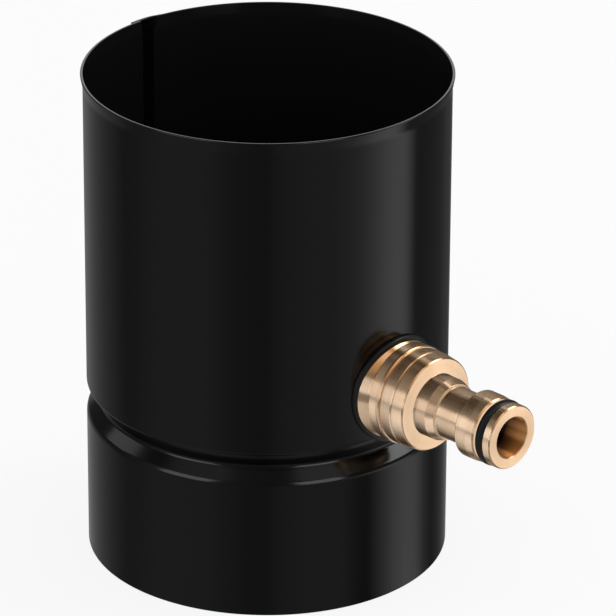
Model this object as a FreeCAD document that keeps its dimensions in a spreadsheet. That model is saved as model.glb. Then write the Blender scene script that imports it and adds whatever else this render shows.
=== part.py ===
import FreeCAD, Part
import math
import os
import Sketcher

# Rainwater diverter for an 87 mm downpipe, in millimetres.
# The origin is on the tube's axis at its lower end, +Z runs up the tube and +X along the hose outlet.

SIZES = (
    # body tube: rolled sheet with an inward bead, a flared lip and a lapped seam
    ("tube_od", 87.0),
    ("tube_height", 121.5),
    ("tube_wall", 0.7),
    ("lip_height", 3.0),
    ("lip_reach", 0.6),
    ("lip_bend", 6.0),
    ("rim_round", 0.25),
    ("bead_foot", 34.6),
    ("bead_base", 37.8),
    ("bead_top", 41.7),
    ("bead_depth", 3.2),
    ("bead_ledge", 1.6),
    ("bead_crease", 1.0),
    ("bead_ledge_crease", 0.2),
    ("bead_top_round", 1.2),
    ("bead_foot_round", 2.0),
    ("lap_rise", 6.7),
    ("lap_hold", 1.0),
    ("lap_cover_deg", 2.6),
    ("lap_flat_deg", 3.4),
    ("lap_ramp_deg", 7.0),
    # catch ring: flanged sleeve that rests over the bead
    ("ring_sheet", 0.6),
    ("ring_throat", 60.8),
    ("ring_rise", 24.0),
    ("ring_bend", 1.0),
    ("ring_wall_gap", 0.2),
    ("ring_seal_thick", 0.8),
    ("ring_seal_width", 1.6),
    # outlet: how far its washer stands above the catch ring, and the bush that goes through the wall
    ("outlet_rise", 1.1),
    ("outlet_bore", 9.86),
    ("outlet_seal_thick", 1.0),
    ("outlet_seal_od", 26.4),
    ("outlet_seal_round", 0.5),
    ("flange_od", 24.9),
    ("flange_back", 1.6),
    ("flange_length", 2.6),
    ("base_od", 23.0),
    ("base_length", 0.35),
    ("band_back_od", 24.1),
    ("band_front_od", 23.4),
    ("band_length", 3.15),
    ("band_ring_od", 24.2),
    ("band_ring_width", 0.9),
    ("band_chamfer", 0.25),
    ("spigot_od", 20.96),
    ("spigot_length", 4.0),
    ("shank_od", 14.0),
    ("shank_beyond", 0.8),
    ("hole_play", 0.3),
    ("thread_play", 0.06),
    # what holds the bush from inside the tube
    ("bush_washer_od", 18.0),
    ("bush_washer_thick", 2.8),
    ("nut_across_flats", 18.0),
    ("nut_thick", 4.0),
    ("nut_chamfer", 0.7),
    # hose nipple: threaded collar, hub, neck, shoulder, ring groove and tip
    ("joint_gap", 0.15),
    ("nipple_washer_thick", 1.5),
    ("nipple_washer_play", 0.25),
    ("collar_od", 23.6),
    ("collar_chamfer", 0.25),
    ("collar_line", 3.15),
    ("collar_line_depth", 0.2),
    ("collar_line_width", 0.6),
    ("collar_band_od", 23.5),
    ("collar_face_od", 22.8),
    ("collar_face_wall", 1.55),
    ("collar_face_round", 0.3),
    ("hub_od", 15.2),
    ("hub_length", 3.65),
    ("hub_taper", 2.1),
    ("hub_taper_od", 13.8),
    ("hub_step", 0.2),
    ("neck_od", 12.6),
    ("neck_length", 7.65),
    ("shoulder_od", 16.3),
    ("shoulder_edge", 0.25),
    ("shoulder_land", 3.2),
    ("shoulder_front_od", 15.9),
    ("shoulder_length", 5.65),
    ("shoulder_bevel", 0.35),
    ("o_ring_groove_od", 11.0),
    ("o_ring_section", 2.5),
    ("o_ring_side_play", 0.2),
    ("o_ring_seat_play", 0.02),
    ("tip_od", 15.6),
    ("tip_length", 2.2),
    ("tip_chamfer", 0.3),
)


class Size:
    """A length with its present value and the expression that the document keeps for it."""

    def __init__(self, text, value):
        self.text = text
        self.value = value

    def __add__(self, other):
        return Size("(%s + %s)" % (self.text, text_of(other)), self.value + value_of(other))

    def __sub__(self, other):
        return Size("(%s - %s)" % (self.text, text_of(other)), self.value - value_of(other))

    def __mul__(self, other):
        return Size("(%s * %s)" % (self.text, text_of(other)), self.value * value_of(other))

    def __truediv__(self, other):
        return Size("(%s / %s)" % (self.text, text_of(other)), self.value / value_of(other))

    def __neg__(self):
        return Size("(-1 * %s)" % self.text, -self.value)


def text_of(item):
    return item.text if isinstance(item, Size) else repr(item)


def value_of(item):
    return item.value if isinstance(item, Size) else float(item)


def slant(run, rise):
    """Length of a sloping stretch with that run and rise."""
    text = "sqrt(%s ^ 2 + %s ^ 2)" % (run.text, rise.text)
    return Size(text, math.hypot(run.value, rise.value))


doc = FreeCAD.newDocument("rainwater_diverter")
sheet = doc.addObject("Spreadsheet::Sheet", "sizes")
for row, (alias, number) in enumerate(SIZES, 1):
    sheet.set("A%d" % row, alias)
    sheet.set("B%d" % row, str(number))
    sheet.setAlias("B%d" % row, alias)
doc.recompute()
size = {alias: Size("sizes." + alias, float(sheet.get(alias))) for alias, number in SIZES}


# Helpers for bodies, sketches and features.


def new_body(name):
    body = doc.addObject("PartDesign::Body", name)
    body.Label = name
    return body


def new_sketch(body, name, role):
    sketch = body.newObject("Sketcher::SketchObject", name)
    plane = [item for item in body.Origin.OriginFeatures if item.Role == role][0]
    sketch.AttachmentSupport = (plane, [""])
    sketch.MapMode = "FlatFace"
    return sketch


def hold_point(sketch, item, point, kind, distance):
    """Hold one point of a sketch at a signed distance from the sketch's origin."""
    if not isinstance(distance, Size):
        axis = -2 if kind == "DistanceX" else -1
        sketch.addConstraint(Sketcher.Constraint("PointOnObject", item, point, axis))
        return
    if distance.value < 0:
        turned = -distance
        ends = (item, point, -1, 1)
    else:
        turned = distance
        ends = (-1, 1, item, point)
    index = sketch.addConstraint(Sketcher.Constraint(kind, *ends, turned.value))
    sketch.setExpression("Constraints[%d]" % index, turned.text)


def outline(body, name, role, points):
    """Closed outline of straight lines, each point a pair of sizes, or 0 for a point on an axis."""
    sketch = new_sketch(body, name, role)
    corners = [FreeCAD.Vector(value_of(a), value_of(b), 0) for a, b in points]
    count = len(corners)
    for index, corner in enumerate(corners):
        sketch.addGeometry(Part.LineSegment(corner, corners[(index + 1) % count]))
    for index in range(count):
        sketch.addConstraint(Sketcher.Constraint("Coincident", index, 2, (index + 1) % count, 1))
    for index, (first, second) in enumerate(points):
        hold_point(sketch, index, 1, "DistanceX", first)
        hold_point(sketch, index, 1, "DistanceY", second)
    return sketch


def circle(sketch, up, radius):
    """Circle on the sketch's vertical axis, at a height above the sketch's origin."""
    centre = FreeCAD.Vector(0, value_of(up), 0)
    item = sketch.addGeometry(Part.Circle(centre, FreeCAD.Vector(0, 0, 1), radius.value))
    hold_point(sketch, item, 3, "DistanceX", 0)
    hold_point(sketch, item, 3, "DistanceY", up)
    index = sketch.addConstraint(Sketcher.Constraint("Radius", item, radius.value))
    sketch.setExpression("Constraints[%d]" % index, radius.text)


def swing(sketch, angle):
    """Turn a sketch about its own vertical axis by an angle in degrees."""
    sketch.AttachmentOffset = FreeCAD.Placement(FreeCAD.Vector(), FreeCAD.Rotation(FreeCAD.Vector(0, 1, 0), 1))
    sketch.setExpression("AttachmentOffset.Rotation.Angle", angle.text)
    doc.recompute()


def turn(body, kind, sketch, axis, name, angle=None, reverse=False):
    """Revolution or Groove of a sketch about one of its own axes, all the way round or by an angle."""
    feature = body.newObject("PartDesign::" + kind, name)
    feature.Profile = sketch
    feature.ReferenceAxis = (sketch, [axis])
    feature.Angle = 360.0
    if angle is not None:
        feature.setExpression("Angle", angle.text)
    feature.Reversed = reverse
    doc.recompute()
    return feature


def extrude(body, kind, sketch, length, name, reverse=False):
    """Pad or Pocket of a sketch over a length."""
    feature = body.newObject("PartDesign::" + kind, name)
    feature.Profile = sketch
    feature.Length = length.value
    feature.setExpression("Length", length.text)
    feature.Reversed = reverse
    doc.recompute()
    return feature


def round_rings(body, base, spots, radius, name):
    """Fillet on the circular edges of a turned feature, each given by its radius and height."""
    names = []
    for index, edge in enumerate(base.Shape.Edges, 1):
        if not isinstance(edge.Curve, Part.Circle):
            continue
        for spot_radius, spot_height in spots:
            near = abs(edge.Curve.Radius - spot_radius.value) < 1e-4
            if near and abs(edge.Curve.Center.z - spot_height.value) < 1e-4:
                names.append("Edge%d" % index)
    feature = body.newObject("PartDesign::Fillet", name)
    feature.Base = (base, names)
    feature.Radius = radius.value
    feature.setExpression("Radius", radius.text)
    doc.recompute()
    return feature


def cylinder(name, radius, length, along_outlet=False, start=0.0):
    """Cylinder about the tube's axis, centred on the outlet's height, or about the outlet's axis."""
    item = doc.addObject("Part::Cylinder", name)
    item.setExpression("Radius", radius.text)
    item.setExpression("Height", length.text)
    if along_outlet:
        item.Placement.Rotation = FreeCAD.Rotation(FreeCAD.Vector(0, 1, 0), 90)
        item.setExpression("Placement.Base.x", text_of(start))
        item.setExpression("Placement.Base.z", outlet_z.text)
    else:
        item.Placement.Rotation = FreeCAD.Rotation(FreeCAD.Vector(0, 0, 1), 90)
        item.setExpression("Placement.Base.z", (outlet_z - length / 2).text)
    return item


def boolean(kind, base, tool, name):
    item = doc.addObject("Part::" + kind, name)
    item.Base = base
    item.Tool = tool
    item.Refine = False
    doc.recompute()
    return item


# Places that more than one piece is built from.

tube_r = size["tube_od"] / 2
tube_inside = tube_r - size["tube_wall"]
bead_r = tube_r - size["bead_depth"]
ridge_top = size["bead_top"] + size["tube_wall"]
ridge_inside = bead_r - size["tube_wall"]
ridge_corner = size["bead_top_round"] - size["tube_wall"]
ring_r = tube_inside - ridge_corner - size["ring_wall_gap"]
ring_seat = ridge_top + size["ring_seal_thick"]

outlet_z = ring_seat + size["ring_sheet"] + size["outlet_rise"] + size["bush_washer_od"] / 2
bore_r = size["outlet_bore"] / 2
shank_r = size["shank_od"] / 2
hole_r = shank_r + size["hole_play"]
spigot_r = size["spigot_od"] / 2
seat_r = tube_r + size["outlet_seal_thick"]
flange_x = seat_r - size["flange_back"]
base_x = flange_x + size["flange_length"]
band_x = base_x + size["base_length"]
bush_front = band_x + size["band_length"]
spigot_end = bush_front + size["spigot_length"]
washer_x = tube_inside - size["bush_washer_thick"]
nut_x = washer_x - size["nut_thick"]


def make_body_tube():
    """Rolled tube: both faces of the sheet turned, then drilled for the outlet and lapped at the back."""
    body = new_body("body_tube")
    wall = size["tube_wall"]
    height = size["tube_height"]
    lip_height = size["lip_height"]
    lip_foot = height - lip_height
    lip_r = tube_r + size["lip_reach"]
    lip_slant = slant(size["lip_reach"], lip_height)
    lip_inside = lip_r - wall * lip_slant / lip_height
    lip_foot_inside = lip_foot + wall * (lip_slant - lip_height) / size["lip_reach"]
    ledge_r = tube_r - size["bead_ledge"]
    flank_rise = size["bead_base"] - size["bead_foot"]
    flank_slant = slant(size["bead_depth"], flank_rise)
    back_run = size["bead_depth"] - size["bead_ledge"]
    back_rise = size["bead_top"] - size["bead_base"]
    back_lean = back_run / back_rise
    back_wall = wall * slant(back_run, back_rise) / back_rise
    foot_inside = size["bead_foot"] - wall * (flank_slant - flank_rise) / size["bead_depth"]
    base_shift = (back_wall - wall * flank_slant / flank_rise) / (back_lean + size["bead_depth"] / flank_rise)
    base_inside = size["bead_base"] + base_shift
    ridge_r = bead_r + base_shift * back_lean - back_wall
    ledge_inside = bead_r + (ridge_top - size["bead_base"]) * back_lean - back_wall
    profile = outline(
        body,
        "tube_profile",
        "XZ_Plane",
        [
            (-tube_r, 0),
            (-tube_r, size["bead_foot"]),
            (-bead_r, size["bead_base"]),
            (-ledge_r, size["bead_top"]),
            (-tube_r, size["bead_top"]),
            (-tube_r, lip_foot),
            (-lip_r, height),
            (-lip_inside, height),
            (-tube_inside, lip_foot_inside),
            (-tube_inside, ridge_top),
            (-ledge_inside, ridge_top),
            (-ridge_r, base_inside),
            (-tube_inside, foot_inside),
            (-tube_inside, 0),
        ],
    )
    form = turn(body, "Revolution", profile, "V_Axis", "tube_form")
    crease = size["bead_crease"]
    ledge_crease = size["bead_ledge_crease"]
    top_round = size["bead_top_round"]
    foot_round = size["bead_foot_round"]
    lip_bend = size["lip_bend"]
    bends = (
        ("bead_crease", crease, [(bead_r, size["bead_base"])]),
        ("bead_ridge", crease + wall, [(ridge_r, base_inside)]),
        ("bead_ledge_crease", ledge_crease, [(ledge_r, size["bead_top"])]),
        ("bead_ledge_ridge", ledge_crease + wall, [(ledge_inside, ridge_top)]),
        ("bead_top_edge", top_round, [(tube_r, size["bead_top"])]),
        ("bead_top_corner", top_round - wall, [(tube_inside, ridge_top)]),
        ("bead_foot_edge", foot_round, [(tube_r, size["bead_foot"])]),
        ("bead_foot_corner", foot_round - wall, [(tube_inside, foot_inside)]),
        ("lip_outside", lip_bend, [(tube_r, lip_foot)]),
        ("lip_inside", lip_bend + wall, [(tube_inside, lip_foot_inside)]),
        ("rim_edges", size["rim_round"], [(lip_r, height), (lip_inside, height)]),
    )
    for name, radius, spots in bends:
        form = round_rings(body, form, spots, radius, name)

    drill = new_sketch(body, "outlet_hole_circle", "YZ_Plane")
    circle(drill, outlet_z, hole_r)
    extrude(body, "Pocket", drill, size["tube_od"], "outlet_hole", reverse=True)

    # The seam faces away from the outlet: one edge of the sheet steps out and lies over the other.
    lap_foot = size["bead_top"] + size["lap_rise"]
    lap_end = lap_foot - size["lap_hold"]
    cover = size["lap_cover_deg"]
    flat = size["lap_flat_deg"]
    ramp = size["lap_ramp_deg"]
    sheet_face = [
        (-tube_r, lap_end),
        (-tube_r, lip_foot),
        (-lip_r, height),
        (-lip_inside, height),
        (-tube_inside, lip_foot_inside),
        (-tube_inside, lap_end),
    ]
    stepped_face = [(across - wall, up) for across, up in sheet_face]
    clear_r = lip_r + wall
    opening = outline(
        body,
        "seam_opening_profile",
        "XZ_Plane",
        [(-clear_r, lap_foot), (-bead_r, lap_foot), (-bead_r, height + wall), (-clear_r, height + wall)],
    )
    turn(body, "Groove", opening, "V_Axis", "seam_opening", flat + ramp, reverse=True)
    cover_end = outline(body, "seam_cover_profile", "XZ_Plane", stepped_face)
    swing(cover_end, cover)
    turn(body, "Revolution", cover_end, "V_Axis", "seam_cover", cover + flat, reverse=True)
    ramp_start = outline(body, "seam_ramp_start_profile", "XZ_Plane", stepped_face)
    swing(ramp_start, -flat)
    ramp_end = outline(body, "seam_ramp_end_profile", "XZ_Plane", sheet_face)
    swing(ramp_end, -(flat + ramp))
    loft = body.newObject("PartDesign::AdditiveLoft", "seam_ramp")
    loft.Profile = ramp_start
    loft.Sections = [ramp_end]
    loft.Ruled = True
    doc.recompute()
    return body


def make_catch_ring():
    """Flanged sleeve: the flange rests over the bead, and water that runs down the wall gathers round it."""
    body = new_body("catch_ring")
    metal = size["ring_sheet"]
    throat_r = size["ring_throat"] / 2
    sleeve_r = throat_r + metal
    flange_top = ring_seat + metal
    sleeve_top = flange_top + size["ring_rise"]
    profile = outline(
        body,
        "ring_profile",
        "YZ_Plane",
        [
            (throat_r, ring_seat),
            (ring_r, ring_seat),
            (ring_r, flange_top),
            (sleeve_r, flange_top),
            (sleeve_r, sleeve_top),
            (throat_r, sleeve_top),
        ],
    )
    form = turn(body, "Revolution", profile, "V_Axis", "ring_form")
    form = round_rings(body, form, [(sleeve_r, flange_top)], size["ring_bend"], "ring_bend_inside")
    round_rings(body, form, [(throat_r, ring_seat)], size["ring_bend"] + metal, "ring_bend_outside")
    return body


def make_ring_seal():
    """Flat rubber ring between the bead and the catch ring's flange."""
    body = new_body("ring_seal")
    inner_r = ring_r - size["ring_seal_width"]
    profile = outline(
        body,
        "ring_seal_profile",
        "YZ_Plane",
        [(inner_r, ridge_top), (ring_r, ridge_top), (ring_r, ring_seat), (inner_r, ring_seat)],
    )
    turn(body, "Revolution", profile, "V_Axis", "ring_seal_form")
    return body


def make_outlet_seal():
    """Rubber gasket, bent to the tube, that shows as a ring round the bush's flange."""
    reach = size["outlet_seal_od"] * 2
    outside = cylinder("seal_outside", seat_r, reach)
    inside = cylinder("seal_inside", tube_r, reach)
    curved = boolean("Cut", outside, inside, "seal_curved_sheet")
    disc = cylinder("seal_disc", size["outlet_seal_od"] / 2, seat_r, True)
    hole = cylinder("seal_hole", hole_r, seat_r, True)
    blank = boolean("Cut", disc, hole, "seal_blank")
    gasket = boolean("Common", curved, blank, "seal_gasket")
    rim = size["outlet_seal_od"].value / 2
    height = outlet_z.value
    edges = []
    for index, edge in enumerate(gasket.Shape.Edges, 1):
        ends = [vertex.Point for vertex in edge.Vertexes]
        middle = edge.valueAt((edge.FirstParameter + edge.LastParameter) / 2)
        points = ends + [middle]
        on_rim = all(abs(math.hypot(p.y, p.z - height) - rim) < 1e-3 for p in points)
        on_top = all(abs(math.hypot(p.x, p.y) - seat_r.value) < 1e-3 for p in points)
        if on_rim and on_top:
            edges.append((index, size["outlet_seal_round"].value, size["outlet_seal_round"].value))
    seal = doc.addObject("Part::Fillet", "outlet_seal")
    seal.Base = gasket
    seal.Edges = edges
    seal.Label = "outlet_seal"
    doc.recompute()
    return seal


def make_outlet_bush():
    """Turned bush: flange hollowed to the tube, turned band, threaded spigot outside and shank inside."""
    body = new_body("outlet_bush")
    body.setExpression("Placement.Base.z", outlet_z.text)
    flange_r = size["flange_od"] / 2
    base_r = size["base_od"] / 2
    edge_x = bush_front - size["band_chamfer"]
    edge_r = size["band_ring_od"] / 2
    ring_x = bush_front - size["band_ring_width"]
    profile = outline(
        body,
        "bush_profile",
        "XZ_Plane",
        [
            (ridge_inside, bore_r),
            (spigot_end, bore_r),
            (spigot_end, spigot_r),
            (bush_front, spigot_r),
            (bush_front, edge_r - size["band_chamfer"]),
            (edge_x, edge_r),
            (ring_x, edge_r),
            (ring_x, size["band_front_od"] / 2),
            (band_x, size["band_back_od"] / 2),
            (band_x, base_r),
            (base_x, base_r),
            (flange_x, flange_r),
            (ridge_inside, flange_r),
        ],
    )
    turn(body, "Revolution", profile, "H_Axis", "bush_form")
    hollow = outline(
        body,
        "bush_seat_profile",
        "YZ_Plane",
        [(0, -size["flange_od"]), (seat_r, -size["flange_od"]), (seat_r, size["flange_od"]), (0, size["flange_od"])],
    )
    turn(body, "Groove", hollow, "V_Axis", "bush_seat")
    shank_end = nut_x - size["shank_beyond"]
    shank = outline(
        body,
        "bush_shank_profile",
        "XZ_Plane",
        [(shank_end, bore_r), (base_x, bore_r), (base_x, shank_r), (shank_end, shank_r)],
    )
    turn(body, "Revolution", shank, "H_Axis", "bush_shank")
    return body


def make_bush_washer():
    """Rubber washer inside the tube, flat to the nut and curved to the wall."""
    wall = cylinder("washer_wall", tube_inside, size["bush_washer_od"] * 2)
    disc = cylinder("washer_disc", size["bush_washer_od"] / 2, size["tube_od"], True, washer_x)
    hole = cylinder("washer_hole", hole_r, size["tube_od"], True, washer_x)
    blank = boolean("Cut", disc, hole, "washer_blank")
    washer = boolean("Common", blank, wall, "bush_washer")
    washer.Label = "bush_washer"
    return washer


def make_lock_nut():
    """Hexagon nut on the bush's shank, with both ends chamfered."""
    body = new_body("lock_nut")
    body.setExpression("Placement.Base.x", nut_x.text)
    body.setExpression("Placement.Base.z", outlet_z.text)
    flat = size["nut_across_flats"] / 2
    corner = size["nut_across_flats"] / math.sqrt(3)
    hexagon = outline(
        body,
        "nut_hexagon",
        "YZ_Plane",
        [
            (corner, 0),
            (corner / 2, flat),
            (-corner / 2, flat),
            (-corner, 0),
            (-corner / 2, -flat),
            (corner / 2, -flat),
        ],
    )
    circle(hexagon, 0, shank_r + size["thread_play"])
    extrude(body, "Pad", hexagon, size["nut_thick"], "nut_blank")
    cut = size["nut_chamfer"]
    for name, end, inward in (("back", 0, cut), ("front", size["nut_thick"], size["nut_thick"] - cut)):
        bevel = outline(
            body,
            "nut_%s_bevel_profile" % name,
            "XZ_Plane",
            [(end, flat), (inward, corner), (end, corner)],
        )
        turn(body, "Groove", bevel, "H_Axis", "nut_%s_bevel" % name)
    return body


def nipple_places():
    """Distances along the outlet at which the nipple's profile changes."""
    places = {"bottom": spigot_end + size["nipple_washer_thick"]}
    places["face"] = places["bottom"] + size["collar_face_wall"]
    places["hub"] = places["face"] + size["hub_length"]
    places["taper"] = places["hub"] + size["hub_taper"]
    places["neck"] = places["taper"] + size["hub_step"]
    places["shoulder"] = places["neck"] + size["neck_length"]
    places["groove"] = places["shoulder"] + size["shoulder_length"]
    places["groove_end"] = places["groove"] + size["o_ring_section"] + size["o_ring_side_play"] * 2
    places["tip"] = places["groove_end"] + size["tip_length"]
    return places


def make_hose_nipple():
    """Turned hose nipple: collar with the thread inside, hub, neck, shoulder, ring groove and tip."""
    body = new_body("hose_nipple")
    body.setExpression("Placement.Base.z", outlet_z.text)
    at = nipple_places()
    back = bush_front + size["joint_gap"]
    thread_r = spigot_r + size["thread_play"]
    collar_r = size["collar_od"] / 2
    line_x = back + size["collar_line"]
    line_r = collar_r - size["collar_line_depth"]
    band_start = line_x + size["collar_line_width"]
    face_r = size["collar_face_od"] / 2
    face_edge = size["collar_face_round"]
    hub_r = size["hub_od"] / 2
    neck_r = size["neck_od"] / 2
    shoulder_r = size["shoulder_od"] / 2
    edge = size["shoulder_edge"]
    front_r = size["shoulder_front_od"] / 2
    bevel = size["shoulder_bevel"]
    groove_r = size["o_ring_groove_od"] / 2
    tip_r = size["tip_od"] / 2
    chamfer = size["tip_chamfer"]
    profile = outline(
        body,
        "nipple_profile",
        "XZ_Plane",
        [
            (at["bottom"], bore_r),
            (at["bottom"], thread_r),
            (back, thread_r),
            (back, collar_r - size["collar_chamfer"]),
            (back + size["collar_chamfer"], collar_r),
            (line_x, collar_r),
            (line_x + size["collar_line_width"] / 2, line_r),
            (band_start, size["collar_band_od"] / 2),
            (at["face"] - face_edge, face_r),
            (at["face"], face_r - face_edge),
            (at["face"], hub_r),
            (at["hub"], hub_r),
            (at["taper"], size["hub_taper_od"] / 2),
            (at["neck"], neck_r),
            (at["shoulder"], neck_r),
            (at["shoulder"], shoulder_r - edge),
            (at["shoulder"] + edge, shoulder_r),
            (at["shoulder"] + edge + size["shoulder_land"], shoulder_r),
            (at["groove"] - bevel, front_r),
            (at["groove"], front_r - bevel),
            (at["groove"], groove_r),
            (at["groove_end"], groove_r),
            (at["groove_end"], tip_r),
            (at["tip"] - chamfer, tip_r),
            (at["tip"], tip_r - chamfer),
            (at["tip"], bore_r + chamfer),
            (at["tip"] - chamfer, bore_r),
        ],
    )
    turn(body, "Revolution", profile, "H_Axis", "nipple_form")
    return body


def make_nipple_washer():
    """Flat rubber washer in the collar, between the bush's spigot and the nipple."""
    body = new_body("nipple_washer")
    body.setExpression("Placement.Base.z", outlet_z.text)
    play = size["nipple_washer_play"]
    inner_r = bore_r + play
    outer_r = spigot_r - play
    end = nipple_places()["bottom"]
    profile = outline(
        body,
        "nipple_washer_profile",
        "XZ_Plane",
        [(spigot_end, inner_r), (end, inner_r), (end, outer_r), (spigot_end, outer_r)],
    )
    turn(body, "Revolution", profile, "H_Axis", "nipple_washer_form")
    return body


def make_nipple_o_ring():
    """Rubber ring in the nipple's groove."""
    section_r = size["o_ring_section"] / 2
    ring = doc.addObject("Part::Torus", "nipple_o_ring")
    ring.Label = "nipple_o_ring"
    middle_r = size["o_ring_groove_od"] / 2 + size["o_ring_seat_play"] + section_r
    ring.setExpression("Radius1", middle_r.text)
    ring.setExpression("Radius2", section_r.text)
    middle = nipple_places()["groove"] + size["o_ring_side_play"] + section_r
    ring.Placement.Rotation = FreeCAD.Rotation(FreeCAD.Vector(0, 1, 0), 90)
    ring.setExpression("Placement.Base.x", middle.text)
    ring.setExpression("Placement.Base.z", outlet_z.text)
    return ring


pieces = [
    make_body_tube(),
    make_catch_ring(),
    make_ring_seal(),
    make_outlet_seal(),
    make_outlet_bush(),
    make_bush_washer(),
    make_lock_nut(),
    make_hose_nipple(),
    make_nipple_washer(),
    make_nipple_o_ring(),
]
doc.recompute()

failed = [item.Label for item in doc.Objects if "Invalid" in item.State or "Error" in item.State]
if failed:
    raise RuntimeError("these objects failed: " + ", ".join(failed))
for piece in pieces:
    shape = piece.Shape
    if shape.isNull() or not shape.isValid() or len(shape.Solids) != 1:
        raise RuntimeError(piece.Label + " is not one valid solid")

os.makedirs("parts", exist_ok=True)
for piece in pieces:
    piece.Shape.exportStep("parts/%s.step" % piece.Label)
    print(piece.Label, round(piece.Shape.Volume, 2), "mm3")
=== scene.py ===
import math

import bpy
from mathutils import Matrix, Vector


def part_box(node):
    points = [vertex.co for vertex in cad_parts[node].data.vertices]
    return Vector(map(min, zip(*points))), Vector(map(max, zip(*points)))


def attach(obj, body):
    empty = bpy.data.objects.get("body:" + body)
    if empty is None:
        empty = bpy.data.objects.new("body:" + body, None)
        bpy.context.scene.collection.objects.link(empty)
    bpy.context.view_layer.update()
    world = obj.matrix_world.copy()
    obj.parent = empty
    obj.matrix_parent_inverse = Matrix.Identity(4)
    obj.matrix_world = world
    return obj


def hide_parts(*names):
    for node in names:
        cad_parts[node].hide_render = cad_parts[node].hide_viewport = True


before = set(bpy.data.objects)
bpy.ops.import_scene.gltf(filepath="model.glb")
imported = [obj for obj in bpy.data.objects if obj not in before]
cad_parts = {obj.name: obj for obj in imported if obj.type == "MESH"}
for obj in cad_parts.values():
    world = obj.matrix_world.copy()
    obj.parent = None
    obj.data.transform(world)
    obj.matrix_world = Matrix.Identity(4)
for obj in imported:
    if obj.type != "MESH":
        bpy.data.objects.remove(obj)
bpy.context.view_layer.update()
scene = bpy.context.scene

# Sizes in millimetres, in the frame of the CAD model: tube along Z, outlet along +X.
MM = 0.001
NEAR = 1e-6
SEAL_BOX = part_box("outlet_seal")
OUTLET_Z = (SEAL_BOX[0].z + SEAL_BOX[1].z) / 2 / MM

# Tube: sheet, bead, lapped seam, flared lip and the outlet's hole.
TUBE_R = 43.5
SHEET = 0.7
TUBE_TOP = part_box("body_tube")[1].z / MM - 0.002
RIM_ROUND = 0.15
BEAD_FOOT = 34.6
BEAD_FOOT_INSIDE = 34.31
BEAD_BASE = 37.8
BEAD_TOP = 41.7
BEAD_R = 40.3
LEDGE_R = 41.9
FOOT_ROUND = 2.0
BASE_ROUND = 1.0
LEDGE_ROUND = 0.2
TOP_ROUND = 1.2
LAP_FOOT = 48.4
LAP_COVER = math.radians(2.6)
LAP_FLAT = math.radians(3.4)
LAP_RAMP = math.radians(7.0)
LAP_START = 2 * math.pi - LAP_FLAT - LAP_RAMP
LAP_AIR = 0.02
LIP_REACH = 0.59
LIP_HEIGHT = 3.0
LIP_BEND = 6.0
LIP_ROUND = 0.25
HOLE_R = 7.3
HOLE_LOW = 45.0
HOLE_HIGH = 64.0
TUBE_COLUMNS = 300
RAMP_COLUMNS = 8
TUBE_ARC_STEPS = 12
LONGEST_FACE = 1.6

# Outlet: places along X and radii about the outlet's axis.
TURNED_COLUMNS = 192
SEAT_R = 44.5
SEAT_ROUNDS = 12
SEAL_R = 13.2
SEAL_ARC_STEPS = 8
BORE_R = 4.93
SHANK_R = 7.0
SHANK_END = 35.2
FLANGE_R = 12.45
FLANGE_X = 42.9
BASE_R = 11.5
BASE_X = 45.5
BAND_X = 45.85
BAND_RING_X = 48.1
BAND_RING_R = 12.1
BUSH_FRONT = 49.0
SPIGOT_R = 10.48
SPIGOT_END = 53.0
SOCKET_R = 10.54
SOCKET_END = 54.5
COLLAR_BACK = 49.15
COLLAR_R = 11.8
COLLAR_FACE = 56.05
HUB_R = 7.6
NECK_R = 6.3
SHOULDER_X = 69.65
SHOULDER_R = 8.15
GROOVE_BACK = 75.3
GROOVE_FRONT = 78.2
GROOVE_R = 5.5
TIP_R = 7.8
TIP_CHAMFER_X = 80.1
TIP_END = 80.398
RING_X = 76.75
RING_MIDDLE_R = 6.77
RING_SECTION_R = 1.25
RING_STEPS = 40
MOUTH_BACK = 73.8
MOUTH_FRONT = 79.5


# Meshes.


def rounded(corners, steps=5):
    """Closed outline from (a, b, radius) corners: points with their outward normals, each corner an arc."""
    count = len(corners)
    turn = 0.0
    for index in range(count):
        a0, b0 = corners[index - 1][:2]
        a1, b1 = corners[index][:2]
        turn += a0 * b1 - a1 * b0
    side = 1.0 if turn > 0 else -1.0
    rows = []
    for index in range(count):
        here = Vector(corners[index][:2])
        radius = corners[index][2]
        before = (here - Vector(corners[index - 1][:2])).normalized()
        after = (Vector(corners[(index + 1) % count][:2]) - here).normalized()
        normal_in = Vector((before.y, -before.x)) * side
        normal_out = Vector((after.y, -after.x)) * side
        cross = before.x * after.y - before.y * after.x
        bend = math.atan2(cross, before.dot(after))
        reach = radius * math.tan(abs(bend) / 2)
        sweep = 1.0 if bend * side > 0 else -1.0
        start = here - before * reach
        centre = start - normal_in * radius * sweep
        for step in range(steps + 1):
            share = step / steps
            normal = Matrix.Rotation(bend * share, 2) @ normal_in
            point = centre + normal * radius * sweep
            rows.append((point.x, point.y, normal.x, normal.y))
        rows[-1] = (rows[-1][0], rows[-1][1], normal_out.x, normal_out.y)
    return rows


def distinct(rows):
    """Rows without those that repeat the place before; the last normal there is kept."""
    kept = []
    for row in rows:
        if kept and math.hypot(row[0] - kept[-1][0], row[1] - kept[-1][1]) < NEAR:
            kept.pop()
        kept.append(row)
    return kept


def split_rows(rows, longest):
    """Adds rows on long straight stretches of a closed outline, so that no face is longer than asked."""
    full = []
    for index, row in enumerate(rows):
        after = rows[(index + 1) % len(rows)]
        length = math.hypot(after[0] - row[0], after[1] - row[1])
        pieces = max(1, math.ceil(length / longest))
        for piece in range(pieces):
            share = piece / pieces
            full.append(tuple(p + (q - p) * share for p, q in zip(row, after)))
    return full


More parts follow.
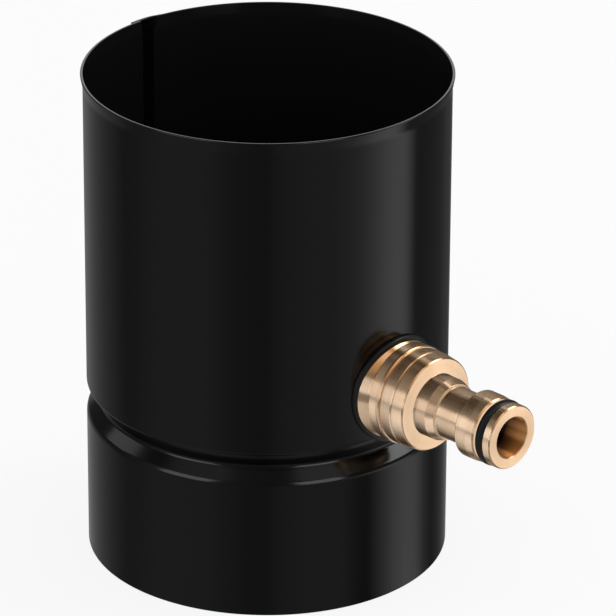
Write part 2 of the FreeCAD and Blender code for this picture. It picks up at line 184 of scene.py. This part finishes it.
def inset(corners, before, after):
    """The sheet's inside corners behind some outside ones, last corner first."""
    chain = (before, *corners, after)
    found = []
    for first, corner, last in zip(chain, chain[1:], chain[2:]):
        one = (Vector(corner[:2]) - Vector(first[:2])).normalized()
        two = (Vector(last[:2]) - Vector(corner[:2])).normalized()
        across = Vector((one.y, -one.x)) + Vector((two.y, -two.x))
        behind = Vector(corner[:2]) - across * SHEET / (1 + one.dot(two))
        found.append((behind.x, behind.y, corner[2] + SHEET))
    return found[::-1]


def volume(places, faces):
    """Volume inside closed faces, negative when they face inwards."""
    total = 0.0
    for face in faces:
        base = places[face[0]]
        for second, third in zip(face[1:], face[2:]):
            total += base.dot(places[second].cross(places[third])) / 6
    return total


def build(name, points, normals, faces, material, node):
    """Mesh object from points in millimetres, which stands for a CAD node and takes its place."""
    places = [Vector(p) * MM for p in points]
    if volume(places, faces) < 0:
        faces = [face[::-1] for face in faces]
    mesh = bpy.data.meshes.new(name)
    mesh.from_pydata(places, [], faces)
    mesh.polygons.foreach_set("use_smooth", [True] * len(mesh.polygons))
    mesh.update()
    mesh.normals_split_custom_set_from_vertices([Vector(n).normalized() for n in normals])
    mesh.materials.append(material)
    piece = bpy.data.objects.new(name, mesh)
    scene.collection.objects.link(piece)
    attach(piece, "root")
    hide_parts(node)
    return piece


def ring_faces(rows, columns):
    """Quads of a grid that closes in both directions, column by column."""
    faces = []
    for column in range(columns):
        here = column * rows
        beside = (column + 1) % columns * rows
        for row in range(rows):
            above = (row + 1) % rows
            faces.append((here + row, beside + row, beside + above, here + above))
    return faces


def spokes():
    """Sideways and upward shares of the directions round the outlet's axis."""
    for column in range(TURNED_COLUMNS):
        angle = 2 * math.pi * column / TURNED_COLUMNS
        yield -math.sin(angle), math.cos(angle)


def flange_edge(across):
    """Place along X and radius at which the flange's cone meets the curved seat, in one direction."""
    radius = FLANGE_R
    for step in range(SEAT_ROUNDS):
        seat = math.sqrt(SEAT_R ** 2 - (radius * across) ** 2)
        radius = min(FLANGE_R, BASE_R + (BASE_X - seat) * (FLANGE_R - BASE_R) / (BASE_X - FLANGE_X))
    return seat, radius


def lathe(name, rows, material, node, seat_row=None):
    """Piece turned about the outlet's axis. Row seat_row and the one before lie on the curved seat."""
    points = []
    normals = []
    for across, up in spokes():
        for index, (along, radius, n_along, n_radius) in enumerate(rows):
            if index == seat_row:
                along, radius = flange_edge(across)
            elif index + 1 == seat_row:
                along = math.sqrt(SEAT_R ** 2 - (radius * across) ** 2)
            points.append((along, radius * across, OUTLET_Z + radius * up))
            normals.append((n_along, n_radius * across, n_radius * up))
    return build(name, points, normals, ring_faces(len(rows), TURNED_COLUMNS), material, node)


# Materials.


def wire(tree, socket, value):
    """Links a socket to another one, or sets it to a plain value."""
    if isinstance(value, bpy.types.NodeSocket):
        tree.links.new(value, socket)
    else:
        socket.default_value = value


def add(tree, kind, **values):
    """New node. A value is one of its settings or an input, whose name has _ for a space."""
    node = tree.nodes.new("ShaderNode" + kind)
    for key, value in values.items():
        if hasattr(node, key):
            setattr(node, key, value)
        else:
            wire(tree, node.inputs[key.replace("_", " ")], value)
    return node


def maths(tree, operation, *values):
    """Result of a maths node."""
    node = add(tree, "Math", operation=operation)
    for socket, value in zip(node.inputs, values):
        wire(tree, socket, value)
    return node.outputs[0]


def object_place(tree):
    """Place on an object, in its own frame."""
    return add(tree, "TexCoord").outputs["Object"]


def axes_of(tree, vector):
    """X, Y and Z of a vector, by name."""
    return add(tree, "SeparateXYZ", Vector=vector).outputs


def length_of(tree, vector):
    """Length of a vector."""
    return add(tree, "VectorMath", operation="LENGTH", Vector=vector).outputs["Value"]


def pair(tree, first, second):
    """Vector of two values."""
    return add(tree, "CombineXYZ", X=first, Y=second).outputs[0]


def noise(tree, place, scale, detail):
    """Cloudy values round a half."""
    return add(tree, "TexNoise", Vector=place, Scale=scale, Detail=detail).outputs["Fac"]


def ramp(tree, source, stops):
    """Colour by (place, value) stops, where a value is a grey or a colour."""
    node = add(tree, "ValToRGB", Fac=source)
    elements = node.color_ramp.elements
    while len(elements) < len(stops):
        elements.new(0.5)
    for element, (place, value) in zip(elements, stops):
        element.position = place
        colour = value if isinstance(value, tuple) else (value, value, value)
        element.color = (*colour, 1.0)
    return node.outputs["Color"]


def spread(tree, source, low, high):
    """Share from 0 to 1, laid out from low to high."""
    return add(tree, "MapRange", Value=source, To_Min=low, To_Max=high).outputs["Result"]


def share_between(tree, source, first, last):
    """Value as a share of the way from first to last, from 0 to 1."""
    return add(tree, "MapRange", Value=source, From_Min=first, From_Max=last).outputs["Result"]


def blend(tree, share, first, second):
    """Colour between two others."""
    return add(tree, "MixRGB", Fac=share, Color1=first, Color2=second).outputs["Color"]


def relief(tree, height, strength, depth):
    """Normal of a fine relief."""
    return add(tree, "Bump", Height=height, Strength=strength, Distance=depth).outputs["Normal"]


def new_material(name):
    """Material with its node tree and shader."""
    material = bpy.data.materials.new(name)
    material.use_nodes = True
    tree = material.node_tree
    return material, tree, tree.nodes["Principled BSDF"].inputs


def black_coat():
    """Semi-gloss black coating with the slight unevenness of a sprayed film; inside the tube it shines less
    and its base colour is raised, as painted light on the inner wall.
    """
    material, tree, inputs = new_material("black_coat")
    place = object_place(tree)
    axes = axes_of(tree, place)
    film = noise(tree, place, 420.0, 3.0)
    cloud = noise(tree, place, 38.0, 2.0)
    radius = length_of(tree, pair(tree, axes["X"], axes["Y"]))
    within = maths(tree, "LESS_THAN", radius, (TUBE_R - 0.1) * MM)
    above = maths(tree, "GREATER_THAN", axes["Z"], HOLE_LOW * MM)
    inside = maths(tree, "MULTIPLY", within, above)
    # Inside the tube the base colour is lighter: painted light standing for the light that reaches the inner
    # wall. The shine there is cut as well.
    wire(tree, inputs["Base Color"], ramp(tree, inside, ((0.0, 0.0012), (1.0, 0.005))))
    wire(tree, inputs["Specular IOR Level"], spread(tree, inside, 0.375, 0.04))
    wire(tree, inputs["Roughness"], spread(tree, cloud, 0.12, 0.18))
    wire(tree, inputs["Normal"], relief(tree, film, 0.06, 0.00004))
    return material


def turned_brass():
    """Polished brass with fine turning marks, and a rougher bore whose base colour is painted dark inwards as
    painted shade and orange at the mouth as painted light.
    """
    material, tree, inputs = new_material("turned_brass")
    place = object_place(tree)
    axes = axes_of(tree, place)
    height = maths(tree, "SUBTRACT", axes["Z"], OUTLET_Z * MM)
    radius = length_of(tree, pair(tree, axes["Y"], height))
    rings = pair(tree, axes["X"], radius)
    marks = noise(tree, rings, 2600.0, 4.0)
    broad = noise(tree, rings, 300.0, 3.0)
    patina = noise(tree, place, 160.0, 4.0)
    tone = ramp(tree, patina, ((0.3, (0.87, 0.58, 0.35)), (0.7, (0.93, 0.65, 0.42))))
    bore = share_between(tree, radius, (BORE_R + 0.25) * MM, (BORE_R + 0.05) * MM)
    mouth = share_between(tree, axes["X"], MOUTH_BACK * MM, MOUTH_FRONT * MM)
    # Base colour of the bore, near black deep inside and orange at the mouth: painted shade for its depth and
    # painted light near the opening.
    painted_bore_light_and_shade = ramp(
        tree,
        mouth,
        (
            (0.0, (0.01, 0.004, 0.002)),
            (0.5, (0.3, 0.12, 0.04)),
            (1.0, (0.72, 0.33, 0.11)),
        ),
    )
    wire(tree, inputs["Base Color"], blend(tree, bore, tone, painted_bore_light_and_shade))
    wire(tree, inputs["Metallic"], 1.0)
    wire(tree, inputs["Anisotropic"], 0.95)
    wire(tree, inputs["Anisotropic Rotation"], 0.25)
    wire(tree, inputs["Tangent"], add(tree, "Tangent", direction_type="RADIAL", axis="X").outputs[0])
    dull = maths(tree, "MULTIPLY", bore, mouth)
    wire(tree, inputs["Roughness"], maths(tree, "MULTIPLY_ADD", dull, 0.3, spread(tree, broad, 0.2, 0.34)))
    wire(tree, inputs["Normal"], relief(tree, marks, 0.45, 0.00002))
    return material


def black_rubber():
    """Smooth moulded rubber with a dull skin."""
    material, tree, inputs = new_material("black_rubber")
    skin = noise(tree, object_place(tree), 1500.0, 3.0)
    wire(tree, inputs["Base Color"], (0.008, 0.008, 0.009, 1.0))
    wire(tree, inputs["Roughness"], spread(tree, skin, 0.3, 0.46))
    wire(tree, inputs["Normal"], relief(tree, skin, 0.1, 0.00003))
    return material


coat = black_coat()
brass = turned_brass()
rubber = black_rubber()

# Brass and rubber round the outlet. A row is a place along X, a radius and the round of that edge.

bush_rows = rounded(
    (
        (SHANK_END, BORE_R, 0.2),
        (SHANK_END, SHANK_R, 0.3),
        (SEAT_R, SHANK_R, 0.0),
        (SEAT_R, FLANGE_R, 0.0),
        (BASE_X, BASE_R, 0.12),
        (BAND_X, BASE_R, 0.05),
        (BAND_X, 12.05, 0.08),
        (BAND_RING_X, 11.7, 0.05),
        (BAND_RING_X, BAND_RING_R, 0.12),
        (BUSH_FRONT - 0.25, BAND_RING_R, 0.15),
        (BUSH_FRONT, BAND_RING_R - 0.25, 0.06),
        (BUSH_FRONT, SPIGOT_R, 0.05),
        (SPIGOT_END, SPIGOT_R, 0.1),
        (SPIGOT_END, BORE_R, 0.1),
    )
)
bush_rows = distinct(bush_rows)
seat_row = max(index for index, row in enumerate(bush_rows) if abs(row[0] - SEAT_R) < NEAR)
bush = lathe("bush_turned", bush_rows, brass, "outlet_bush", seat_row)

nipple_rows = rounded(
    (
        (SOCKET_END, BORE_R, 0.05),
        (SOCKET_END, SOCKET_R, 0.1),
        (COLLAR_BACK, SOCKET_R, 0.05),
        (COLLAR_BACK, COLLAR_R - 0.25, 0.05),
        (COLLAR_BACK + 0.25, COLLAR_R, 0.15),
        (52.3, COLLAR_R, 0.12),
        (52.6, 11.6, 0.06),
        (52.9, 11.75, 0.12),
        (COLLAR_FACE - 0.3, 11.4, 0.2),
        (COLLAR_FACE, 11.1, 0.15),
        (COLLAR_FACE, HUB_R, 0.12),
        (59.7, HUB_R, 0.2),
        (61.8, 6.9, 0.12),
        (62.0, NECK_R, 0.12),
        (SHOULDER_X, NECK_R, 0.3),
        (SHOULDER_X, SHOULDER_R - 0.25, 0.08),
        (SHOULDER_X + 0.25, SHOULDER_R, 0.2),
        (73.1, SHOULDER_R, 0.4),
        (GROOVE_BACK - 0.35, 7.95, 0.15),
        (GROOVE_BACK, 7.6, 0.08),
        (GROOVE_BACK, GROOVE_R, 0.1),
        (GROOVE_FRONT, GROOVE_R, 0.1),
        (GROOVE_FRONT, TIP_R, 0.15),
        (TIP_CHAMFER_X, TIP_R, 0.2),
        (TIP_END, TIP_R - 0.3, 0.15),
        (TIP_END, BORE_R + 0.3, 0.15),
        (TIP_CHAMFER_X, BORE_R, 0.08),
    )
)
nipple = lathe("nipple_turned", nipple_rows, brass, "hose_nipple")

ring_rows = []
for step in range(RING_STEPS):
    angle = 2 * math.pi * step / RING_STEPS
    along, out = math.cos(angle), math.sin(angle)
    ring_rows.append((RING_X + RING_SECTION_R * along, RING_MIDDLE_R + RING_SECTION_R * out, along, out))
nipple_ring = lathe("nipple_ring_moulded", ring_rows, rubber, "nipple_o_ring")


def gasket():
    """Rubber gasket bent round the tube: rows are a radius about the outlet and a radius about the tube."""
    corners = (
        (HOLE_R, TUBE_R, 0.1),
        (SEAL_R, TUBE_R, 0.1),
        (SEAL_R, SEAT_R, 0.5),
        (HOLE_R, SEAT_R, 0.1),
    )
    rows = rounded(corners, SEAL_ARC_STEPS)
    points = []
    normals = []
    for across, up in spokes():
        for radius, shell, n_radius, n_shell in rows:
            y = radius * across
            x = math.sqrt(shell ** 2 - y ** 2)
            points.append((x, y, OUTLET_Z + radius * up))
            out = Vector((x, y, 0)).normalized() * n_shell
            normals.append(out + Vector((0, across, up)) * n_radius)
    faces = ring_faces(len(rows), TURNED_COLUMNS)
    return build("outlet_gasket", points, normals, faces, rubber, "outlet_seal")


gasket()

# Body tube: one sheet, closed below the seam's foot and lapped above it.


def tube_outline():
    """The sheet's closed outline as radius and height with outward normals, up outside and down inside."""
    inside = TUBE_R - SHEET
    lip_slope = math.hypot(LIP_REACH, LIP_HEIGHT)
    lip_inside = TUBE_R + LIP_REACH - SHEET * lip_slope / LIP_HEIGHT
    lip_foot_inside = TUBE_TOP - LIP_HEIGHT + SHEET * (lip_slope - LIP_HEIGHT) / LIP_REACH
    bead = (
        (TUBE_R, BEAD_FOOT, FOOT_ROUND),
        (BEAD_R, BEAD_BASE, BASE_ROUND),
        (LEDGE_R, BEAD_TOP, LEDGE_ROUND),
        (TUBE_R, BEAD_TOP, TOP_ROUND),
    )
    corners = (
        (TUBE_R, 0.0, RIM_ROUND),
        *bead,
        (TUBE_R, HOLE_LOW, 0.0),
        (TUBE_R, LAP_FOOT, 0.0),
        (TUBE_R, HOLE_HIGH, 0.0),
        (TUBE_R, TUBE_TOP - LIP_HEIGHT, LIP_BEND),
        (TUBE_R + LIP_REACH, TUBE_TOP, LIP_ROUND),
        (lip_inside, TUBE_TOP, LIP_ROUND),
        (inside, lip_foot_inside, LIP_BEND + SHEET),
        (inside, HOLE_HIGH, 0.0),
        (inside, LAP_FOOT, 0.0),
        (inside, HOLE_LOW, 0.0),
        (inside, BEAD_TOP + SHEET, TOP_ROUND - SHEET),
        *inset(bead[1:3], bead[0], bead[3]),
        (inside, BEAD_FOOT_INSIDE, FOOT_ROUND - SHEET),
        (inside, 0.0, RIM_ROUND),
    )
    return split_rows(distinct(rounded(corners, TUBE_ARC_STEPS)), LONGEST_FACE)


def lap_lift(angle):
    """How far the sheet steps out at an angle from the seam."""
    share = min(max((angle - LAP_START) / LAP_RAMP, 0.0), 1.0)
    return (SHEET + LAP_AIR) * share * share * (3 - 2 * share)


def lap_slope(angle):
    """Slope of that step round the tube."""
    nudge = 1e-4
    return (lap_lift(angle + nudge) - lap_lift(angle - nudge)) / (2 * nudge * TUBE_R)


def in_hole(quad, points):
    """Whether the middle of a quad lies in the outlet's hole."""
    middle = sum((points[corner] for corner in quad), Vector()) / 4
    across = TUBE_R * middle.y / middle.xy.length
    return middle.x > 0 and math.hypot(across, middle.z - OUTLET_Z) < HOLE_R


def hole_wall(cut, points, normals):
    """Draws the corners round the cut to the hole's circle; gives the faces between outside and inside."""
    borders = {}
    for quad in cut:
        for one, two in zip(quad, quad[1:] + quad[:1]):
            if borders.pop((two, one), None) is None:
                borders[(one, two)] = True
    corners = {corner for border in borders for corner in border}
    pairs = {}
    for corner in corners:
        place = points[corner]
        key = (round(place.z, 3), round(place.y / place.xy.length, 5))
        pairs.setdefault(key, []).append(corner)
    partner = {}
    for both in pairs.values():
        inner, outer = sorted(both, key=lambda corner: points[corner].xy.length)
        partner[outer] = inner
    for corner in corners:
        place = points[corner]
        shell = place.xy.length
        share = HOLE_R / math.hypot(place.y, place.z - OUTLET_Z)
        y = place.y * share
        points[corner] = Vector((math.sqrt(shell ** 2 - y ** 2), y, OUTLET_Z + (place.z - OUTLET_Z) * share))
        normals[corner] = points[corner] * Vector((1, 1, 0)) * (1 if corner in partner else -1)
    return [(one, two, partner[two], partner[one]) for one, two in borders if one in partner]


def sheet_angles():
    """Angles of the sheet's columns from the seam, the count before its step and the count in a full turn."""
    step = 2 * math.pi / TUBE_COLUMNS
    angles = [index * step for index in range(TUBE_COLUMNS) if index * step < LAP_START - step / 2]
    shared = len(angles) + 1
    angles += [LAP_START + LAP_RAMP * index / RAMP_COLUMNS for index in range(RAMP_COLUMNS + 1)]
    angles += [2 * math.pi - LAP_FLAT / 2, 2 * math.pi]
    closed = len(angles) - 1
    angles += [2 * math.pi + LAP_COVER / 2, 2 * math.pi + LAP_COVER]
    return angles, shared, closed


def body_tube():
    """The rolled sheet: a closed ring up to the seam's foot, and above it a strip whose ends lap."""
    outline = tube_outline()
    high = [index for index, row in enumerate(outline) if row[1] > LAP_FOOT - NEAR]
    upper = outline[high[0]:high[-1] + 1]
    lower = outline[high[-1]:] + outline[:high[0] + 1]
    angles, shared, closed = sheet_angles()
    points = []
    normals = []

    def put(angle, row, lift=0.0, slope=0.0):
        """One point of the sheet at an angle from the seam, which faces -X."""
        radius, up, n_radius, n_up = row
        out = Vector((-math.cos(angle), -math.sin(angle), 0))
        side = Vector((math.sin(angle), -math.cos(angle), 0))
        points.append(out * (radius + lift) + Vector((0, 0, up)))
        normals.append((out - side * slope) * n_radius + Vector((0, 0, n_up)))
        return len(points) - 1

    lower_grid = [[put(angle, row) for row in lower] for angle in angles[:closed]]
    upper_grid = []
    for index, angle in enumerate(angles):
        lift = lap_lift(angle)
        slope = lap_slope(angle)
        column = [put(angle, row, lift, slope) for row in upper[1:-1]]
        if index < shared:
            first, last = lower_grid[index][-1], lower_grid[index][0]
        else:
            first, last = put(angle, upper[0], lift, slope), put(angle, upper[-1], lift, slope)
        upper_grid.append([first, *column, last])

    neighbours = [(lower_grid[index], lower_grid[(index + 1) % closed]) for index in range(closed)]
    neighbours += zip(upper_grid, upper_grid[1:])
    faces = []
    cut = []
    for first, second in neighbours:
        for row in range(len(first) - 1):
            quad = (first[row], first[row + 1], second[row + 1], second[row])
            (cut if in_hole(quad, points) else faces).append(quad)
    # Foot of the lapped stretch, the ledge under it, and the two cut ends of the sheet.
    feet = list(zip(upper_grid[shared - 1:], upper_grid[shared:]))
    feet += [(lower_grid[index], lower_grid[(index + 1) % closed]) for index in range(shared - 1, closed)]
    for one, two in feet:
        faces.append((one[-1], one[0], two[0], two[-1]))
    for column, flip in ((upper_grid[0], True), (upper_grid[-1], False)):
        for row in range(len(upper) // 2):
            other = len(upper) - 1 - row
            ring = list(dict.fromkeys((column[row], column[row + 1], column[other - 1], column[other])))
            if len(ring) > 2:
                faces.append(tuple(ring[::-1] if flip else ring))
    faces += hole_wall(cut, points, normals)
    return build("tube_sheet", points, normals, faces, coat, "body_tube")


tube = body_tube()

# Pieces that keep their CAD shape.

for node, material in (
    ("catch_ring", coat),
    ("ring_seal", rubber),
    ("bush_washer", rubber),
    ("nipple_washer", rubber),
    ("lock_nut", brass),
):
    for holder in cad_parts[node].material_slots:
        holder.material = material

# Camera at the photograph's angle: the outlet points half to the right and half to the front.
# Sizes from here on are in metres.

AZIMUTH = math.radians(45.0)
ELEVATION = math.radians(24.89)
DISTANCE = 1.266
ROLL = 0.005
UP = Vector((0, 0, 1))
RIGHT = Vector((math.cos(AZIMUTH), math.sin(AZIMUTH), 0))
TOWARD = Vector((math.sin(AZIMUTH), -math.cos(AZIMUTH), 0))
AIM = RIGHT * 0.00972 + UP * 0.06014
# Turn that lays X to the camera's right, Y towards the camera and Z down.
CAMERA_TURN = Matrix((RIGHT, TOWARD, -UP)).transposed().to_4x4()


def facing(place, target):
    """Matrix at a place that looks at a target."""
    return Matrix.Translation(place) @ (target - place).to_track_quat("-Z", "Y").to_matrix().to_4x4()


camera_data = bpy.data.cameras.new("camera")
camera_data.sensor_width = 36.0
camera_data.lens = 308.96
camera = bpy.data.objects.new("camera", camera_data)
eye = AIM + (TOWARD * math.cos(ELEVATION) + UP * math.sin(ELEVATION)) * DISTANCE
camera.matrix_world = facing(eye, AIM) @ Matrix.Rotation(ROLL, 4, "Z")
scene.collection.objects.link(camera)
scene.camera = camera

# Studio: white floor and backdrop, a table and a wall that only polished surfaces mirror, and lamps.

FLOOR_R = 6.0
FLOOR_SIDES = 64
FLOOR_GLOW = 0.86
SKY_FILL = 0.75
WALL_R = 5.0
WALL_COLUMNS = 64
WALL_LEVELS = 24
WALL_FOOT = -2.0
TABLE_DROP = 0.0005
MIRROR_ROUNDS = 6
BEAD_WAY = (0.076, 0.088)
CEILING_LIFT = (34.0, 42.0)
LAMP_TARGET = UP * 0.06
CARD_LIFT = 0.001
WHITE = (1.0, 1.0, 1.0, 1.0)
COOL = (0.97, 1.06, 1.22)
GOLD = (1.0, 0.6, 0.2)


def staged(name, points, faces, material):
    """Object of the studio, which isn't part of the model."""
    mesh = bpy.data.meshes.new(name)
    mesh.from_pydata(points, [], faces)
    mesh.materials.append(material)
    item = bpy.data.objects.new(name, mesh)
    scene.collection.objects.link(item)
    return item


def disc():
    """Points and face of the floor."""
    turns = [2 * math.pi * side / FLOOR_SIDES for side in range(FLOOR_SIDES)]
    points = [(FLOOR_R * math.cos(turn), FLOOR_R * math.sin(turn), 0) for turn in turns]
    return points, [tuple(range(FLOOR_SIDES))]


def dome():
    """Points and faces of the wall and ceiling, a half sphere that opens upwards along -Z."""
    points = []
    faces = []
    for level in range(WALL_LEVELS + 1):
        lift = math.radians(WALL_FOOT + (90 - WALL_FOOT) * level / WALL_LEVELS)
        ring = WALL_R * math.cos(lift)
        for column in range(WALL_COLUMNS):
            turn = 2 * math.pi * column / WALL_COLUMNS
            points.append((ring * math.sin(turn), ring * math.cos(turn), -WALL_R * math.sin(lift)))
    for level in range(WALL_LEVELS):
        low = level * WALL_COLUMNS
        high = low + WALL_COLUMNS
        for column in range(WALL_COLUMNS):
            beside = (column + 1) % WALL_COLUMNS
            faces.append((low + column, low + beside, high + beside, high + column))
    return points, faces


def bare_material(name):
    """Material without a shader, with its node tree and the output's surface."""
    material = bpy.data.materials.new(name)
    material.use_nodes = True
    tree = material.node_tree
    tree.nodes.clear()
    return material, tree, add(tree, "OutputMaterial").inputs["Surface"]


def glow(name, colour_of):
    """Material that only shines, with its colour from a function of the node tree."""
    material, tree, surface = bare_material(name)
    wire(tree, surface, add(tree, "Emission", Color=colour_of(tree)).outputs[0])
    return material


def seen_rays(tree):
    """1 for rays that look at the background: camera, mirrored and transmitted ones."""
    path = add(tree, "LightPath").outputs
    seen = maths(tree, "MAXIMUM", path["Is Camera Ray"], path["Is Glossy Ray"])
    return maths(tree, "MAXIMUM", seen, path["Is Transmission Ray"])


def white_floor():
    """Matt white that shines a little to the eye and keeps the part's shadow."""
    material, tree, surface = bare_material("white_floor")
    mix = add(tree, "MixShader", Fac=maths(tree, "MULTIPLY", seen_rays(tree), FLOOR_GLOW))
    wire(tree, mix.inputs[1], add(tree, "BsdfDiffuse", Color=(0.9, 0.9, 0.9, 1.0)).outputs[0])
    wire(tree, mix.inputs[2], add(tree, "Emission", Color=WHITE).outputs[0])
    wire(tree, surface, mix.outputs[0])
    return material


def bearings(span, *stops):
    """Ramp stops from bearings in degrees: 0 is towards the camera, positive ones are to the right."""
    return [(angle / span + 0.5, value) for angle, value in stops]


def table_colour(tree):
    """Grey table with a bright stretch to the right, set by where on the tube a spot is mirrored."""
    place = object_place(tree)
    axes = axes_of(tree, place)
    reach = length_of(tree, place)
    turn = maths(tree, "ARCTAN2", axes["X"], axes["Y"])
    share = maths(tree, "DIVIDE", TUBE_R * MM, reach)
    # A ray that leaves the tube at a bearing runs on at twice that bearing, so a few rounds find it.
    spot = maths(tree, "MULTIPLY", turn, 0.5)
    for step in range(MIRROR_ROUNDS):
        slant = maths(tree, "ARCSINE", maths(tree, "MULTIPLY", maths(tree, "SINE", spot), share))
        spot = maths(tree, "MULTIPLY", maths(tree, "ADD", turn, slant), 0.5)
    along = maths(tree, "MULTIPLY", maths(tree, "COSINE", slant), reach)
    way = maths(tree, "SUBTRACT", along, maths(tree, "MULTIPLY", maths(tree, "COSINE", spot), TUBE_R * MM))
    around = maths(tree, "MULTIPLY_ADD", spot, 1 / math.pi, 0.5)
    below_bead = ramp(
        tree,
        around,
        bearings(
            180,
            (-90, 0.34),
            (-80, 0.31),
            (-70, 0.26),
            (-60, 0.2),
            (-50, 0.13),
            (-45, 0.16),
            (-35, 0.26),
            (-20, 0.28),
            (-10, 0.2),
            (-5, 0.15),
            (0, 0.15),
            (5, 0.24),
            (15, 0.29),
            (22, 0.28),
            (25, 0.26),
            (31, 0.12),
            (34, 0.1),
            (40, 0.48),
            (45, 0.78),
            (50, 0.84),
            (55, 0.62),
            (60, 0.19),
            (65, 0.065),
            (70, 0.085),
            (75, 0.115),
            (80, 0.18),
            (90, 0.34),
        ),
    )
    above_bead = ramp(
        tree,
        around,
        bearings(
            180,
            (-90, 0.2),
            (-75, 0.26),
            (-65, 0.22),
            (-57, 0.18),
            (-50, 0.11),
            (-45, 0.15),
            (-35, 0.26),
            (-20, 0.3),
            (-8, 0.16),
            (0, 0.14),
            (5, 0.25),
            (20, 0.31),
            (25, 0.35),
            (30, 0.47),
            (35, 0.73),
            (40, 1.05),
            (45, 1.1),
            (48, 0.95),
            (53, 0.11),
            (65, 0.1),
            (70, 0.09),
            (75, 0.11),
            (80, 0.08),
            (90, 0.2),
        ),
    )
    return blend(tree, share_between(tree, way, *BEAD_WAY), below_bead, above_bead)


def wall_colour(tree):
    """Dim grey wall, and above it a ceiling with two paler stretches."""
    axes = axes_of(tree, object_place(tree))
    turn = maths(tree, "ARCTAN2", axes["X"], axes["Y"])
    around = maths(tree, "MULTIPLY_ADD", turn, 1 / (2 * math.pi), 0.5)
    side = ramp(
        tree,
        around,
        bearings(
            360,
            (-180, 0.3),
            (-150, 0.07),
            (-110, 0.1),
            (-60, 0.3),
            (0, 0.12),
            (60, 0.1),
            (90, 0.2),
            (105, 0.15),
            (160, 0.15),
            (180, 0.3),
        ),
    )
    ceiling = ramp(
        tree,
        around,
        bearings(
            360,
            (-180, 0.1),
            (-100, 0.06),
            (-84, 0.07),
            (-76, 0.36),
            (-40, 0.42),
            (-30, 0.22),
            (-20, 0.17),
            (12, 0.13),
            (24, 0.2),
            (32, 0.6),
            (62, 0.62),
            (70, 0.12),
            (84, 0.05),
            (110, 0.1),
            (180, 0.1),
        ),
    )
    heights = [-WALL_R * math.sin(math.radians(lift)) for lift in CEILING_LIFT]
    return blend(tree, share_between(tree, axes["Z"], *heights), side, ceiling)


def mirror_only(item):
    """Leaves an item to mirrored and transmitted rays."""
    item.visible_camera = False
    item.visible_diffuse = False
    item.visible_shadow = False
    item.visible_volume_scatter = False


floor = staged("floor", *disc(), white_floor())
floor.visible_glossy = False
table = staged("mirrored_table", *disc(), glow("mirrored_table", table_colour))
table.matrix_world = Matrix.Translation(UP * -TABLE_DROP) @ CAMERA_TURN
mirror_only(table)
wall = staged("mirrored_wall", *dome(), glow("mirrored_wall", wall_colour))
wall.matrix_world = CAMERA_TURN
mirror_only(wall)


def lamp(name, matrix, width, height, level):
    """Rectangular lamp; level is how bright it looks, where 1 is white."""
    light = bpy.data.lights.new(name, "AREA")
    light.shape = "RECTANGLE"
    light.size = width
    light.size_y = height
    light.energy = level * math.pi * width * height
    item = bpy.data.objects.new(name, light)
    item.matrix_world = matrix
    item.visible_camera = False
    scene.collection.objects.link(item)
    return item


def soft_box(name, bearing, lift, distance, width, height, level):
    """Lamp that faces the part, at a bearing and a lift in degrees."""
    turn = math.radians(bearing)
    rise = math.radians(lift)
    flat = RIGHT * math.sin(turn) + TOWARD * math.cos(turn)
    place = LAMP_TARGET + (flat * math.cos(rise) + UP * math.sin(rise)) * distance
    return lamp(name, facing(place, LAMP_TARGET), width, height, level)


def floor_card(name, right, toward, width, depth, level):
    """Lamp that lies on the floor and shines upwards."""
    place = RIGHT * right + TOWARD * toward + UP * CARD_LIFT
    return lamp(name, Matrix.Translation(place) @ CAMERA_TURN, width, depth, level)


def group(name, *pieces):
    """Collection of pieces that some lamps light alone."""
    collection = bpy.data.collections.new(name)
    for piece in pieces:
        collection.objects.link(piece)
    return collection


def light_only(collection, cards, tint=(1.0, 1.0, 1.0)):
    """Lets lamps of a tint light nothing but a collection."""
    for card in cards:
        card.light_linking.receiver_collection = collection
        card.data.color = tint


soft_box("soft_box_left", -112, 35, 1.2, 0.4, 0.62, 0.9)
soft_box("soft_box_right", 98, 40, 1.2, 0.44, 0.62, 3.6)
light_only(
    group("tube_pieces", tube),
    (
        soft_box("card_front_left", -50, 16, 1.2, 0.7, 0.8, 1.9),
        soft_box("card_front_right", 33, 16, 1.2, 0.58, 0.8, 2.3),
        soft_box("card_back", 180, 25, 1.2, 1.2, 0.5, 1.3),
    ),
)
brass_pieces = group("brass_pieces", bush, nipple)
light_only(
    brass_pieces,
    (
        soft_box("card_side", -88, 11, 0.6, 0.7, 0.36, 1.0),
        soft_box("card_top", 135, 63, 0.6, 0.6, 0.1, 1.0),
        soft_box("card_front", -7, 8, 0.6, 0.22, 0.3, 1.8),
        floor_card("card_floor_left", -0.255, 0.105, 0.55, 0.12, 0.8),
        floor_card("card_floor_right", 0.2, 0.03, 0.22, 0.22, 0.12),
    ),
    COOL,
)
light_only(
    brass_pieces,
    (
        soft_box("card_gold_left", -50, 18, 0.8, 1.0, 0.5, 0.1),
        soft_box("card_gold_right", 60, 40, 0.8, 1.4, 0.9, 0.45),
    ),
    GOLD,
)
# The tube in the photograph mirrors neither the nipple nor its ring.
for piece in (nipple, nipple_ring):
    piece.visible_glossy = False

world = bpy.data.worlds.new("studio")
world.use_nodes = True
scene.world = world
sky = world.node_tree
backdrop = sky.nodes["Background"].inputs
wire(sky, backdrop["Strength"], spread(sky, seen_rays(sky), SKY_FILL, 1.0))
wire(sky, backdrop["Color"], WHITE)

scene.view_settings.view_transform = "Standard"
